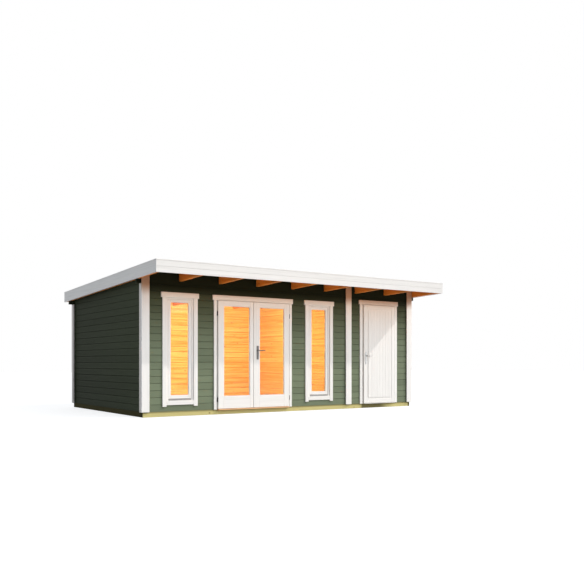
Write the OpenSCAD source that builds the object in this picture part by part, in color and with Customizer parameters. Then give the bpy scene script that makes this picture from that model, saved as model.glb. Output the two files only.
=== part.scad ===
// Garden house: a log-board house with a single-pitch roof, a glazed double door,
// two narrow windows and a store room with its own boarded door at the right end.
// X runs along the front to the right, Y runs to the back and Z is up. The origin
// lies on the ground, under the middle of the roof.

/* [House] */
// Length of the walls along the front, over their outer faces
house_w = 6050; // [5900:10:7200]
// Depth of the walls from front to back, over their outer faces
house_d = 3630; // [3000:10:4200]
// Thickness of the log boards that make the walls
wall_t = 44; // [34:1:58]
// Face height of one log board
board_h = 120; // [117:1:130]
// Least height of wall that stays over the tallest door or window frame
lintel_h = 60; // [40:1:150]
// Courses of boards that the back wall has less than the front wall
fall_boards = 1; // [1:1:2]
// Clear width of the store room at the right end
store_w = 1615; // [1450:5:1900]

/* [Foundation and floor] */
// Height of the foundation beams
base_h = 88; // [60:1:140]
// Width of a foundation beam or floor joist
beam_w = 60; // [58:1:100]
// Number of floor joists, with the two under the side walls
joist_count = 9; // [5:1:13]
// Thickness of the floor boards
floor_t = 19; // [16:1:28]

/* [Roof] */
// How far the roof edge stands out in front of the front wall
front_overhang = 846; // [300:1:1000]
// How far the roof edge stands out behind the back wall
back_overhang = 214; // [100:1:400]
// How far the roof edge stands out beyond each side wall
side_overhang = 137; // [130:1:400]
// Width of a rafter
rafter_w = 60; // [45:1:66]
// Height of a rafter
rafter_h = 140; // [100:1:180]
// Number of rafters, with the two outside the side walls
rafter_count = 9; // [7:2:11]
// Height of the top log that stays under each rafter
log_seat = 72; // [50:1:100]
// Thickness of the roof boards
roof_board_t = 19; // [16:1:25]
// Thickness of the roofing felt
felt_t = 4; // [2:0.5:6]
// Gap between the tops of the walls and the roof boards
roof_fit = 0.5; // [0.2:0.1:0.8]
// Gap between a rafter and the sides of the notch it lies in
rafter_fit = 1; // [0.5:0.5:3]

/* [Roof edge] */
// Height of one fascia board
fascia_h = 95; // [80:1:120]
// Thickness of a fascia board
fascia_t = 20; // [16:1:28]
// Open joint between neighbouring fascia boards
fascia_joint = 2; // [1:0.5:4]
// How far the roof edge rises above the roof boards
edge_rise = 45; // [30:1:70]
// Height of the strip that caps the fascia
strip_h = 18; // [12:1:24]
// Width of the strip that caps the fascia
strip_w = 44; // [30:1:60]
// How far the strip stands out past the fascia boards
strip_out = 4; // [0:1:8]

/* [Cover boards] */
// Width of a cover board on the front or the back
cover_w = 140; // [120:1:160]
// Width of a cover board on a side wall
side_cover_w = 90; // [60:1:120]
// Thickness of a cover board
cover_t = 20; // [16:1:24]
// Thickness of the packing strip that holds a cover board off the wall
packer_t = 16; // [10:1:20]
// Width of a packing strip
packer_w = 50; // [40:1:56]

/* [Casings] */
// Thickness of the side and bottom casing boards
casing_t = 24; // [18:1:28]
// Thickness of the head casing boards
head_t = 28; // [20:1:34]
// Height of a head casing board
head_h = 90; // [70:1:110]
// How far a head casing stands out past the side casings
head_ear = 24; // [0:1:40]
// Open joint between casing boards
casing_joint = 1; // [0.5:0.5:2]

/* [Windows] */
// Distance from the left end of the front wall to the middle of the left window
window_x = 677; // [600:1:750]
// Distance from the middle of the double door to the middle of each window
window_offset = 1485; // [1400:5:1500]
// Width of a window sash
sash_w = 434; // [380:2:460]
// Height of the sash's lower edge above the foundation
sash_z = 200; // [150:1:900]
// Width of the sash's stiles
sash_stile = 51; // [40:1:60]
// Width of the sash's top rail
sash_top = 54; // [40:1:70]
// Width of the sash's bottom rail
sash_bottom = 75; // [50:1:90]
// Thickness of a sash
sash_t = 40; // [34:1:44]
// Gap round a sash in its frame
sash_gap = 3; // [2:0.5:5]
// Face width of a window frame member
window_frame_w = 58; // [50:1:66]
// Depth of the stop that a sash closes against
window_stop_t = 16; // [10:1:24]
// Width of the stop that a sash closes against
window_stop_w = 12; // [8:1:20]
// Width of the frame's face left open beside a window casing
window_reveal = 36; // [20:1:45]
// Width of a window's side casings
window_casing_w = 76; // [60:1:90]
// Height of a window's bottom casing
sill_casing_h = 75; // [60:1:80]
// Height of the frame's face left open below the head casing
head_reveal = 25; // [10:1:40]
// Height of the frame's face left open above the bottom casing
sill_reveal = 14; // [5:1:30]
// How far the side casings reach below the bottom casing
casing_leg = 28; // [0:1:40]

/* [Double door] */
// Width of the pair of leaves
pair_w = 1516; // [1450:1:1540]
// Gap between the two leaves
leaf_gap = 8; // [7:0.5:12]
// How far the gap lies left of the middle
split_offset = 30; // [0:1:40]
// Height of the two glazed leaves
leaf_h = 1924; // [1750:1:2150]
// Width of the stiles on the hinge side
hinge_stile = 118; // [90:1:130]
// Width of the left leaf's meeting stile
left_meeting = 76; // [60:1:90]
// Width of the right leaf's meeting stile
right_meeting = 136; // [120:1:150]
// Height of the top rail
glazed_top = 98; // [80:1:120]
// Height of the bottom rail
glazed_bottom = 226; // [150:1:260]
// Width of the double door's side casings
door_casing_w = 54; // [45:1:70]

/* [Store door] */
// Distance from the right end of the front wall to the middle of the store door
store_door_x = 878; // [840:1:900]
// Width of the store door's leaf
store_leaf_w = 830; // [760:1:840]
// Height of the store door's leaf
store_leaf_h = 1996; // [1800:1:2200]
// Width of the store leaf's stiles and rails
store_stile = 82; // [75:1:100]
// How far the boarding lies back from the front of the stiles
board_recess = 12; // [6:1:14]
// Thickness of the boarding
leaf_board_t = 16; // [12:1:20]
// Width of the store door's side casings
store_casing_w = 66; // [50:1:70]

/* [Doors in common] */
// Thickness of every leaf
leaf_t = 40; // [34:1:48]
// Gap between a closed leaf and the frame behind it
closing_gap = 5; // [5:0.5:8]
// Gap between a leaf's edge and the side casing, where the hinges stand
hinge_gap = 21; // [20:0.5:30]
// Gap between a leaf's top and the head casing
head_gap = 7; // [6:0.5:10]
// Height of a leaf's lower edge above the foundation
leaf_z = 14; // [8:1:20]
// How far a closed leaf laps over its frame
leaf_lap = 12; // [6:1:20]
// Face width of a door frame member
door_frame_w = 50; // [46:1:60]
// Depth of every door and window frame
frame_d = 60; // [58:1:90]
// Gap between a frame and the wall boards round it
frame_fit = 0.5; // [0.3:0.1:0.9]
// Thickness of a glass pane
pane_t = 6; // [4:1:14]
// How deep a pane sits in its groove
pane_edge = 10; // [6:1:16]
// Clearance of a pane or panel in its groove
groove_fit = 0.3; // [0.1:0.1:0.5]

/* [Hinges] */
// Radius of a hinge barrel
barrel_r = 8; // [6:0.5:9]
// Height of one half of a hinge barrel
barrel_h = 40; // [30:1:50]
// Radius of the hinge pin
hinge_pin_r = 4; // [3:0.5:5]
// How far a hinge pin stands up out of the lower half
pin_up = 32; // [20:1:34]
// Room above a hinge pin in its bore
pin_end = 2; // [1:0.5:4]
// Radial clearance between a hinge pin and its bore
pin_fit = 0.08; // [0.05:0.01:0.1]
// Gap between the two halves of a hinge
barrel_gap = 0.3; // [0.2:0.1:0.5]
// Radius of the arms that hold the hinge halves
arm_r = 4.5; // [3:0.5:5]
// Distance of the hinge axis in front of the wall's outer face
hinge_out = 33; // [28:1:35]
// Height of the lowest hinge above the leaf's lower edge
hinge_low = 160; // [120:1:300]
// Distance of the highest hinge below the leaf's upper edge
hinge_high = 230; // [120:1:300]

/* [Locks] */
// Height of a lock plate
plate_h = 248; // [200:1:260]
// Width of a lock plate
plate_w = 40; // [34:1:50]
// Thickness of a lock plate
plate_t = 8; // [4:1:10]
// Corner radius of a lock plate
plate_r = 6; // [2:1:12]
// Height of the lever above the middle of its plate
lever_up = 41; // [20:1:70]
// Radius of a lever and its neck
lever_r = 9; // [7:0.5:11]
// Length of a lever from its spindle to its end
lever_l = 138; // [100:1:150]
// Radius of the bend between a lever's neck and its grip
lever_bend = 13.5; // [12:0.5:20]
// Distance of a lever's middle line from its plate
lever_out = 42; // [35:1:60]
// Radial clearance of the lever's neck in its plate
lever_fit = 0.1; // [0.05:0.01:0.1]
// Clearance of the lever's spindle and of the lock barrel in the leaf
spindle_fit = 0.5; // [0.3:0.1:1]
// Distance of the lock barrel's round part below the lever
lock_down = 92; // [72:1:92]
// Radius of the lock barrel's round part
lock_r = 8.5; // [8:0.5:9]
// Height of the lock barrel with the leg below its round part
lock_h = 33; // [30:1:34]
// Width of the lock barrel's leg
lock_leg_w = 10; // [8:0.5:12]
// How far the lock barrel stands out past its plates
lock_out = 2; // [0:0.5:3]
// Clearance of the lock barrel in its plates
lock_fit = 0.2; // [0.1:0.1:0.3]
// Height of the glazed leaf's lever above the foundation
glazed_lever_z = 1058; // [950:1:1100]
// Distance of the glazed leaf's lever from the meeting edge
glazed_backset = 83; // [60:1:90]
// Height of the store door's lever above the foundation
store_lever_z = 972; // [900:1:1100]
// Distance of the store door's lever from the leaf's edge
store_backset = 50; // [40:1:60]

/* [Hidden] */
$fn = 48;

// Colours
green = "darkolivegreen";
white = "whitesmoke";
pine = "peru";
base_timber = "darkkhaki";
felt_grey = "dimgray";
dark_metal = "darkslategray";
light_metal = "silver";
glass_tint = "lightcyan";

// How far a cut goes past the faces it opens
cut = 1;

// Extent of the roof and of the walls
roof_w = house_w + 2 * side_overhang;
roof_d = front_overhang + house_d + back_overhang;
roof_front = -roof_d / 2;
roof_back = roof_d / 2;
left_x = -house_w / 2;
right_x = house_w / 2;
front_y = roof_front + front_overhang;
back_y = front_y + house_d;
front_in = front_y + wall_t;
back_in = back_y - wall_t;

// Outer edges of the door frames, and the height of each above the foundation
pair_frame_half = pair_w / 2 - leaf_lap + door_frame_w;
store_frame_half = store_leaf_w / 2 - leaf_lap + door_frame_w;
pair_frame_h = leaf_z + leaf_h - leaf_lap + door_frame_w;
store_frame_h = leaf_z + store_leaf_h - leaf_lap + door_frame_w;

// The windows' head casings line up with the double door's
head_h0 = leaf_z + leaf_h + head_gap;
sash_top_h = head_h0 - head_reveal - sash_gap;
window_frame_h = sash_top_h + sash_gap + window_frame_w;

// Courses of boards: the front wall has as many as cover the tallest frame
front_boards = ceil((max(pair_frame_h, store_frame_h, window_frame_h) + lintel_h) / board_h);
back_boards = front_boards - fall_boards;
front_top = base_h + front_boards * board_h;
back_top = base_h + back_boards * board_h;

// Pitch of the roof: it falls by the courses that the back wall lacks
roof_fall = fall_boards * board_h / house_d;
// Underside of the roof boards at the depth y
function roof_z(y) = front_top + log_seat + rafter_h - roof_fall * (y - front_y);

// Planes of the roof edge
fascia_out = roof_w / 2 - strip_out;
fascia_in = fascia_out - fascia_t;
fascia_front = roof_front + strip_out;
boards_front = fascia_front + fascia_t;
boards_back = roof_back - fascia_t;
function edge_z(y) = roof_z(y) + roof_board_t + edge_rise;

// Rafters, evenly spaced between the side fascias
rafter_pitch = (2 * fascia_in - rafter_w) / (rafter_count - 1);
rafter_x = [for (i = [0:rafter_count - 1]) i * rafter_pitch - fascia_in];

// Partition and cover boards
part_x0 = right_x - wall_t - store_w - wall_t;
part_x1 = part_x0 + wall_t;
cover_out = packer_t + cover_t;
cover_x = [left_x - cover_out, (part_x0 + part_x1 - cover_w) / 2, right_x + cover_out - cover_w];

// Windows, on both sides of the double door
door_mid = left_x + window_x + window_offset;
window_mid = [door_mid - window_offset, door_mid + window_offset];
sash_z0 = base_h + sash_z;
sash_z1 = base_h + sash_top_h;
window_hole_w = sash_w + 2 * sash_gap;
window_hole_z0 = sash_z0 - sash_gap;
window_hole_z1 = sash_z1 + sash_gap;
window_frame_half = window_hole_w / 2 + window_frame_w;
casing_half = window_hole_w / 2 + window_reveal;
pocket_d = frame_d - window_stop_t;
sill_top = window_hole_z0 - sill_reveal;
head_z = base_h + head_h0;

// Double door
pair_frame_top = base_h + pair_frame_h;
store_frame_top = base_h + store_frame_h;
leaf_front = front_y - closing_gap - leaf_t;
leaf_back = front_y - closing_gap;
leaf_z0 = base_h + leaf_z;
leaf_z1 = leaf_z0 + leaf_h;
pair_x0 = door_mid - pair_w / 2;
pair_x1 = door_mid + pair_w / 2;
split_x = door_mid - split_offset;
left_leaf_x1 = split_x - leaf_gap / 2;
right_leaf_x0 = split_x + leaf_gap / 2;
glass_z0 = leaf_z0 + glazed_bottom;
glass_z1 = leaf_z1 - glazed_top;
lever_x = right_leaf_x0 + glazed_backset;
lever_z = base_h + glazed_lever_z;

// Store door
store_mid = right_x - store_door_x;
store_x0 = store_mid - store_leaf_w / 2;
store_x1 = store_mid + store_leaf_w / 2;
store_z1 = leaf_z0 + store_leaf_h;
store_head_z = store_z1 + head_gap;
store_lever_x = store_x0 + store_backset;
store_lever_top = base_h + store_lever_z;

// Hinge axes
hinge_y = front_y - hinge_out;
left_axis_x = pair_x0 - hinge_gap / 2;
right_axis_x = pair_x1 + hinge_gap / 2;
store_axis_x = store_x1 + hinge_gap / 2;
pair_hinges = [leaf_z0 + hinge_low, leaf_z1 - hinge_high];
store_hinges = [leaf_z0 + hinge_low, (leaf_z0 + hinge_low + store_z1 - hinge_high) / 2,
    store_z1 - hinge_high];

// ---- Shapes in common ----

// Block between two corners
module block(x0, x1, y0, y1, z0, z1) {
    translate([x0, y0, z0])
        cube([x1 - x0, y1 - y0, z1 - z0]);
}

// Outline in Y and Z, drawn out along X
module along_x(x0, x1) {
    translate([x0, 0, 0])
        rotate([90, 0, 90])
            linear_extrude(height = x1 - x0)
                children();
}

// Slab between two depths whose upper and lower faces follow the roof, from low to
// high above the underside of the roof boards
module roof_slab(x0, x1, y0, y1, low, high) {
    along_x(x0, x1)
        polygon([[y0, roof_z(y0) + low], [y1, roof_z(y1) + low],
            [y1, roof_z(y1) + high], [y0, roof_z(y0) + high]]);
}

// Room that the rafters take in the pieces they pass through
module rafter_slots() {
    for (x = rafter_x)
        roof_slab(x - rafter_fit, x + rafter_w + rafter_fit, boards_front, boards_back,
            -rafter_h, edge_rise);
}

// Wall across the house, up to just below the roof boards
module cross_wall(x0, x1) {
    along_x(x0, x1)
        polygon([[front_in, base_h], [back_in, base_h],
            [back_in, roof_z(back_in) - roof_fit], [front_in, roof_z(front_in) - roof_fit]]);
}

// Room that a door frame takes, from the foundation up
module door_hole(half, mid, z1, gap) {
    block(mid - half - gap, mid + half + gap, front_y - cut, front_y + frame_d + gap,
        base_h - cut, z1 + gap);
}

// Sunk hole for a pane or panel in the middle of a leaf or sash
module groove(x0, x1, y0, y1, z0, z1) {
    block(x0 - pane_edge - groove_fit, x1 + pane_edge + groove_fit, y0 - groove_fit,
        y1 + groove_fit, z0 - pane_edge - groove_fit, z1 + pane_edge + groove_fit);
}

// ---- Foundation and floor ----

module foundation_beams() {
    color(base_timber) {
        block(left_x, right_x, front_y, front_y + beam_w, 0, base_h);
        block(left_x, right_x, back_y - beam_w, back_y, 0, base_h);
    }
}

module floor_joists() {
    pitch = (house_w - beam_w) / (joist_count - 1);
    color(base_timber)
        for (i = [0:joist_count - 1])
            translate([i * pitch, 0, 0])
                block(left_x, left_x + beam_w, front_y + beam_w, back_y - beam_w, 0, base_h);
}

module floor_boards() {
    color(pine)
        difference() {
            block(left_x + wall_t, right_x - wall_t, front_in, back_in, base_h,
                base_h + floor_t);
            block(part_x0, part_x1, front_y, back_y, 0, front_top);
            door_hole(pair_frame_half, door_mid, pair_frame_top, frame_fit);
            door_hole(store_frame_half, store_mid, store_frame_top, frame_fit);
        }
}

// ---- Walls ----

module side_walls() {
    color(green) {
        cross_wall(left_x, left_x + wall_t);
        cross_wall(right_x - wall_t, right_x);
    }
}

module partition_wall() {
    color(pine)
        difference() {
            cross_wall(part_x0, part_x1);
            rafter_slots();
        }
}

module back_wall() {
    color(green)
        block(left_x, right_x, back_in, back_y, base_h, back_top);
}

module front_slab(x0, x1, z0) {
    block(x0, x1, front_y, front_in, z0, front_top);
}

module window_hole(mid) {
    half = window_frame_half + frame_fit;
    block(mid - half, mid + half, front_y - cut, front_in + cut,
        window_hole_z0 - window_frame_w - frame_fit,
        window_hole_z1 + window_frame_w + frame_fit);
}

module front_wall_left() {
    color(green)
        difference() {
            front_slab(left_x, door_mid - pair_frame_half - frame_fit, base_h);
            window_hole(window_mid[0]);
        }
}

module front_wall_middle() {
    color(green)
        difference() {
            front_slab(door_mid + pair_frame_half + frame_fit,
                store_mid - store_frame_half - frame_fit, base_h);
            window_hole(window_mid[1]);
        }
}

module front_wall_right() {
    color(green)
        front_slab(store_mid + store_frame_half + frame_fit, right_x, base_h);
}

module front_wall_over_doors() {
    pair_half = pair_frame_half + frame_fit;
    store_half = store_frame_half + frame_fit;
    color(green) {
        front_slab(door_mid - pair_half, door_mid + pair_half, pair_frame_top + frame_fit);
        front_slab(store_mid - store_half, store_mid + store_half,
            store_frame_top + frame_fit);
    }
}

// ---- Top logs and roof ----

// Log on a long wall: its ends stand out under the roof and its notches hold the rafters
module top_log(y0, y1, z0) {
    difference() {
        along_x(-fascia_in, fascia_in)
            polygon([[y0, z0], [y1, z0], [y1, roof_z(y1) - roof_fit],
                [y0, roof_z(y0) - roof_fit]]);
        rafter_slots();
    }
}

module front_top_log() {
    color(green)
        top_log(front_y, front_in, front_top);
}

module back_top_log() {
    color(green)
        top_log(back_in, back_y, back_top);
}

module rafters() {
    color(pine)
        for (x = rafter_x)
            roof_slab(x, x + rafter_w, boards_front, boards_back, -rafter_h, 0);
}

module roof_boards() {
    color(pine)
        roof_slab(-fascia_in, fascia_in, boards_front, boards_back, 0, roof_board_t);
}

module roof_felt() {
    color(felt_grey)
        roof_slab(-fascia_in, fascia_in, boards_front, boards_back, roof_board_t,
            roof_board_t + felt_t);
}

// ---- Roof edge ----

// Depth of each fascia board's top below the roof edge
fascia_drops = [strip_h, strip_h + fascia_h + fascia_joint];

module front_fascia() {
    color(white)
        for (drop = fascia_drops, side = [0, 1])
            mirror([side, 0, 0])
                block(fascia_joint / 2, fascia_out, fascia_front, boards_front,
                    edge_z(roof_front) - drop - fascia_h, edge_z(roof_front) - drop);
}

module side_fascias() {
    rise = roof_board_t + edge_rise;
    color(white)
        for (drop = fascia_drops, side = [0, 1])
            mirror([side, 0, 0])
                roof_slab(fascia_in, fascia_out, boards_front, roof_back,
                    rise - drop - fascia_h, rise - drop);
}

module back_fascia() {
    color(white)
        block(-fascia_in, fascia_in, boards_back, roof_back,
            roof_z(roof_back) - rafter_h, roof_z(roof_back) + roof_board_t);
}

module edge_strips() {
    rise = roof_board_t + edge_rise;
    side_front = roof_front + strip_w + fascia_joint;
    color(white) {
        block(-roof_w / 2, roof_w / 2, roof_front, roof_front + strip_w,
            edge_z(roof_front) - strip_h, edge_z(roof_front));
        for (side = [0, 1])
            mirror([side, 0, 0])
                roof_slab(roof_w / 2 - strip_w, roof_w / 2, side_front, roof_back,
                    rise - strip_h, rise);
    }
}

// ---- Cover boards ----

// Upright board on its packing strip, against the face of a wall at y = 0, with the
// wall behind it
module cover_board(w, z0, z1) {
    translate([0, -packer_t - cover_t, z0])
        cube([w, cover_t, z1 - z0]);
    translate([(w - packer_w) / 2, -packer_t, z0])
        cube([packer_w, packer_t, z1 - z0]);
}

module front_cover_boards() {
    color(white)
        difference() {
            for (x = cover_x)
                translate([x, front_y, 0])
                    cover_board(cover_w, base_h, roof_z(front_y));
            rafter_slots();
        }
}

module back_cover_boards() {
    color(white)
        difference() {
            for (x = cover_x)
                translate([x + cover_w, back_y, 0])
                    rotate([0, 0, 180])
                        cover_board(cover_w, base_h, roof_z(back_y + cover_out));
            rafter_slots();
        }
}

module side_cover_boards() {
    color(white)
        for (side = [0, 1])
            mirror([side, 0, 0]) {
                translate([left_x, front_y - packer_t + side_cover_w, 0])
                    rotate([0, 0, -90])
                        cover_board(side_cover_w, base_h, front_top);
                translate([left_x, back_y + packer_t, 0])
                    rotate([0, 0, -90])
                        cover_board(side_cover_w, base_h, back_top);
            }
}

// ---- Windows ----

module window_frame(mid) {
    difference() {
        block(mid - window_frame_half, mid + window_frame_half, front_y, front_y + frame_d,
            window_hole_z0 - window_frame_w, window_hole_z1 + window_frame_w);
        block(mid - window_hole_w / 2, mid + window_hole_w / 2, front_y - cut,
            front_y + pocket_d, window_hole_z0, window_hole_z1);
        block(mid - window_hole_w / 2 + window_stop_w, mid + window_hole_w / 2 - window_stop_w,
            front_y, front_y + frame_d + cut, window_hole_z0 + window_stop_w,
            window_hole_z1 - window_stop_w);
    }
}

module window_frames() {
    color(white)
        for (mid = window_mid)
            window_frame(mid);
}

// The sash closes on the stop and its pane sits in the middle of its thickness
sash_y1 = front_y + pocket_d;
sash_y0 = sash_y1 - sash_t;
sash_pane_y = sash_y0 + (sash_t - pane_t) / 2;
sash_glass_z0 = sash_z0 + sash_bottom;
sash_glass_z1 = sash_z1 - sash_top;

module window_sashes() {
    glass_half = sash_w / 2 - sash_stile;
    color(white)
        for (mid = window_mid)
            difference() {
                block(mid - sash_w / 2, mid + sash_w / 2, sash_y0, sash_y1, sash_z0, sash_z1);
                block(mid - glass_half, mid + glass_half, sash_y0 - cut, sash_y1 + cut,
                    sash_glass_z0, sash_glass_z1);
                groove(mid - glass_half, mid + glass_half, sash_pane_y,
                    sash_pane_y + pane_t, sash_glass_z0, sash_glass_z1);
            }
}

module window_panes() {
    half = sash_w / 2 - sash_stile + pane_edge;
    color(glass_tint, 0.4)
        for (mid = window_mid)
            block(mid - half, mid + half, sash_pane_y, sash_pane_y + pane_t,
                sash_glass_z0 - pane_edge, sash_glass_z1 + pane_edge);
}

// Side casings and the head casing that lies across them
module casing_arch(mid, half, w, z0, head_z0) {
    for (side = [-1, 1])
        translate([mid + side * (half + w / 2) - w / 2, front_y - casing_t, z0])
            cube([w, casing_t, head_z0 - casing_joint - z0]);
    block(mid - half - w - head_ear, mid + half + w + head_ear, front_y - head_t, front_y,
        head_z0, head_z0 + head_h);
}

module window_casings() {
    color(white)
        for (mid = window_mid) {
            casing_arch(mid, casing_half, window_casing_w,
                sill_top - sill_casing_h - casing_leg, head_z);
            block(mid - casing_half + casing_joint, mid + casing_half - casing_joint,
                front_y - casing_t, front_y, sill_top - sill_casing_h, sill_top);
        }
}

// ---- Door frames and casings ----

// Frame with its sill: the closed leaf laps over it by leaf_lap all round
module door_frame(mid, half, top) {
    difference() {
        block(mid - half, mid + half, front_y, front_y + frame_d, base_h, top);
        block(mid - half + door_frame_w, mid + half - door_frame_w, front_y - cut,
            front_y + frame_d + cut, leaf_z0 + leaf_lap, top - door_frame_w);
    }
}

module double_door_frame() {
    color(white)
        door_frame(door_mid, pair_frame_half, pair_frame_top);
}

module store_door_frame() {
    color(white)
        door_frame(store_mid, store_frame_half, store_frame_top);
}

module double_door_casing() {
    color(white)
        casing_arch(door_mid, pair_w / 2 + hinge_gap, door_casing_w, base_h, head_z);
}

module store_door_casing() {
    color(white)
        casing_arch(store_mid, store_leaf_w / 2 + hinge_gap, store_casing_w, base_h,
            store_head_z);
}

// ---- Hinges ----

// Lower half with its pin, held by an arm that goes back into the frame
module frame_hinge(x, z) {
    translate([x, hinge_y, z - barrel_h])
        cylinder(r = barrel_r, h = barrel_h);
    translate([x, hinge_y, z - barrel_h])
        cylinder(r = hinge_pin_r, h = barrel_h + pin_up);
    translate([x, hinge_y, z - barrel_h / 2])
        rotate([-90, 0, 0])
            cylinder(r = arm_r, h = hinge_out);
}

module frame_hinges() {
    color(dark_metal) {
        for (x = [left_axis_x, right_axis_x], z = pair_hinges)
            frame_hinge(x, z);
        for (z = store_hinges)
            frame_hinge(store_axis_x, z);
    }
}

// Upper half, held by an arm in the edge of the leaf that lies towards +X or -X
module leaf_hinge(x, z, towards) {
    difference() {
        union() {
            translate([x, hinge_y, z + barrel_gap])
                cylinder(r = barrel_r, h = barrel_h);
            translate([x, hinge_y, z + barrel_gap + barrel_h / 2])
                rotate([0, towards * 90, 0])
                    cylinder(r = arm_r, h = hinge_gap / 2);
        }
        translate([x, hinge_y, z])
            cylinder(r = hinge_pin_r + pin_fit, h = pin_up + pin_end);
    }
}

module left_leaf_hinges() {
    color(dark_metal)
        for (z = pair_hinges)
            leaf_hinge(left_axis_x, z, 1);
}

module right_leaf_hinges() {
    color(dark_metal)
        for (z = pair_hinges)
            leaf_hinge(right_axis_x, z, -1);
}

module store_leaf_hinges() {
    color(light_metal)
        for (z = store_hinges)
            leaf_hinge(store_axis_x, z, -1);
}

// ---- Glazed leaves ----

pane_y = leaf_front + (leaf_t - pane_t) / 2;

// Outline of the lock barrel, a round part over a narrow leg, below the lever's centre
module lock_outline(fit) {
    translate([0, -lock_down])
        circle(r = lock_r + fit);
    translate([-lock_leg_w / 2 - fit, lock_r - lock_down - lock_h - fit])
        square([lock_leg_w + 2 * fit, lock_h - lock_r + fit]);
}

// Holes for the lever's spindle and the lock barrel through a leaf
module lock_holes(x, z) {
    translate([x, leaf_back + cut, z])
        rotate([90, 0, 0])
            linear_extrude(height = leaf_t + 2 * cut) {
                circle(r = lever_r + spindle_fit);
                lock_outline(spindle_fit);
            }
}

// Leaf from x0 to x1 whose glass runs from g0 to g1
module glazed_leaf(x0, x1, g0, g1) {
    difference() {
        block(x0, x1, leaf_front, leaf_back, leaf_z0, leaf_z1);
        block(g0, g1, leaf_front - cut, leaf_back + cut, glass_z0, glass_z1);
        groove(g0, g1, pane_y, pane_y + pane_t, glass_z0, glass_z1);
    }
}

module leaf_pane(g0, g1) {
    color(glass_tint, 0.4)
        block(g0 - pane_edge, g1 + pane_edge, pane_y, pane_y + pane_t,
            glass_z0 - pane_edge, glass_z1 + pane_edge);
}

module left_leaf() {
    color(white)
        glazed_leaf(pair_x0, left_leaf_x1, pair_x0 + hinge_stile, left_leaf_x1 - left_meeting);
}

module left_leaf_pane() {
    leaf_pane(pair_x0 + hinge_stile, left_leaf_x1 - left_meeting);
}

module right_leaf() {
    color(white)
        difference() {
            glazed_leaf(right_leaf_x0, pair_x1, right_leaf_x0 + right_meeting,
                pair_x1 - hinge_stile);
            lock_holes(lever_x, lever_z);
        }
}

module right_leaf_pane() {
    leaf_pane(right_leaf_x0 + right_meeting, pair_x1 - hinge_stile);
}

// ---- Store door's leaf ----

board_y0 = leaf_front + board_recess;

module store_leaf() {
    color(white)
        difference() {
            block(store_x0, store_x1, leaf_front, leaf_back, leaf_z0, store_z1);
            block(store_x0 + store_stile, store_x1 - store_stile, leaf_front - cut,
                leaf_back + cut, leaf_z0 + store_stile, store_z1 - store_stile);
            groove(store_x0 + store_stile, store_x1 - store_stile, board_y0,
                board_y0 + leaf_board_t, leaf_z0 + store_stile, store_z1 - store_stile);
            lock_holes(store_lever_x, store_lever_top);
        }
}

module store_leaf_boards() {
    color(white)
        block(store_x0 + store_stile - pane_edge, store_x1 - store_stile + pane_edge,
            board_y0, board_y0 + leaf_board_t, leaf_z0 + store_stile - pane_edge,
            store_z1 - store_stile + pane_edge);
}

// ---- Locks ----

// Plate outline about the lever's centre
module plate_outline() {
    low = -lever_up - plate_h / 2;
    difference() {
        union() {
            translate([-plate_w / 2, low + plate_r])
                square([plate_w, plate_h - 2 * plate_r]);
            translate([plate_r - plate_w / 2, low])
                square([plate_w - 2 * plate_r, plate_h]);
            for (x = [-1, 1], z = [0, 1])
                translate([x * (plate_w / 2 - plate_r), low + plate_r + z * (plate_h - 2 * plate_r)])
                    circle(r = plate_r);
        }
        circle(r = lever_r + lever_fit);
        lock_outline(lock_fit);
    }
}

// The plates on both faces of a leaf, and the lock barrel that passes through them
module lock_plates(x, z) {
    for (y = [leaf_front, leaf_back + plate_t])
        translate([x, y, z])
            rotate([90, 0, 0])
                linear_extrude(height = plate_t)
                    plate_outline();
    translate([x, leaf_back + plate_t + lock_out, z])
        rotate([90, 0, 0])
            linear_extrude(height = leaf_t + 2 * (plate_t + lock_out))
                lock_outline(0);
}

module right_leaf_plates() {
    color(dark_metal)
        lock_plates(lever_x, lever_z);
}

module store_leaf_plates() {
    color(light_metal)
        lock_plates(store_lever_x, store_lever_top);
}

// Lever on one face: a round neck that bends into the grip
module lever_arm() {
    translate([lever_bend, lever_bend - lever_out, 0])
        rotate([0, 0, 180])
            rotate_extrude(angle = 90)
                translate([lever_bend, 0])
                    circle(r = lever_r);
    translate([0, lever_bend - lever_out, 0])
        rotate([-90, 0, 0])
            cylinder(r = lever_r, h = lever_out - lever_bend);
    translate([lever_bend, -lever_out, 0])
        rotate([0, 90, 0])
            cylinder(r = lever_r, h = lever_l - lever_bend - lever_r);
    translate([lever_l - lever_r, -lever_out, 0])
        sphere(r = lever_r);
}

// Levers on both faces of a leaf, joined by the spindle between them
module lever_pair(x, z) {
    translate([x, leaf_front - plate_t, z])
        lever_arm();
    translate([x, leaf_back + plate_t, z])
        mirror([0, 1, 0])
            lever_arm();
    translate([x, leaf_front - plate_t, z])
        rotate([-90, 0, 0])
            cylinder(r = lever_r, h = leaf_t + 2 * plate_t);
}

module right_leaf_lever() {
    color(dark_metal)
        lever_pair(lever_x, lever_z);
}

module store_leaf_lever() {
    color(light_metal)
        lever_pair(store_lever_x, store_lever_top);
}

foundation_beams();
floor_joists();
floor_boards();
side_walls();
back_wall();
partition_wall();
front_wall_left();
front_wall_over_doors();
front_wall_middle();
front_wall_right();
front_top_log();
back_top_log();
rafters();
roof_boards();
roof_felt();
front_fascia();
side_fascias();
back_fascia();
edge_strips();
front_cover_boards();
side_cover_boards();
back_cover_boards();
window_frames();
window_sashes();
window_panes();
window_casings();
double_door_frame();
double_door_casing();
store_door_frame();
store_door_casing();
frame_hinges();
left_leaf();
left_leaf_pane();
left_leaf_hinges();
right_leaf();
right_leaf_pane();
right_leaf_hinges();
right_leaf_plates();
right_leaf_lever();
store_leaf();
store_leaf_boards();
store_leaf_hinges();
store_leaf_plates();
store_leaf_lever();
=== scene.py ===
"""Garden house of log boards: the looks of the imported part, in metres and in its own frame."""

import math

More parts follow.
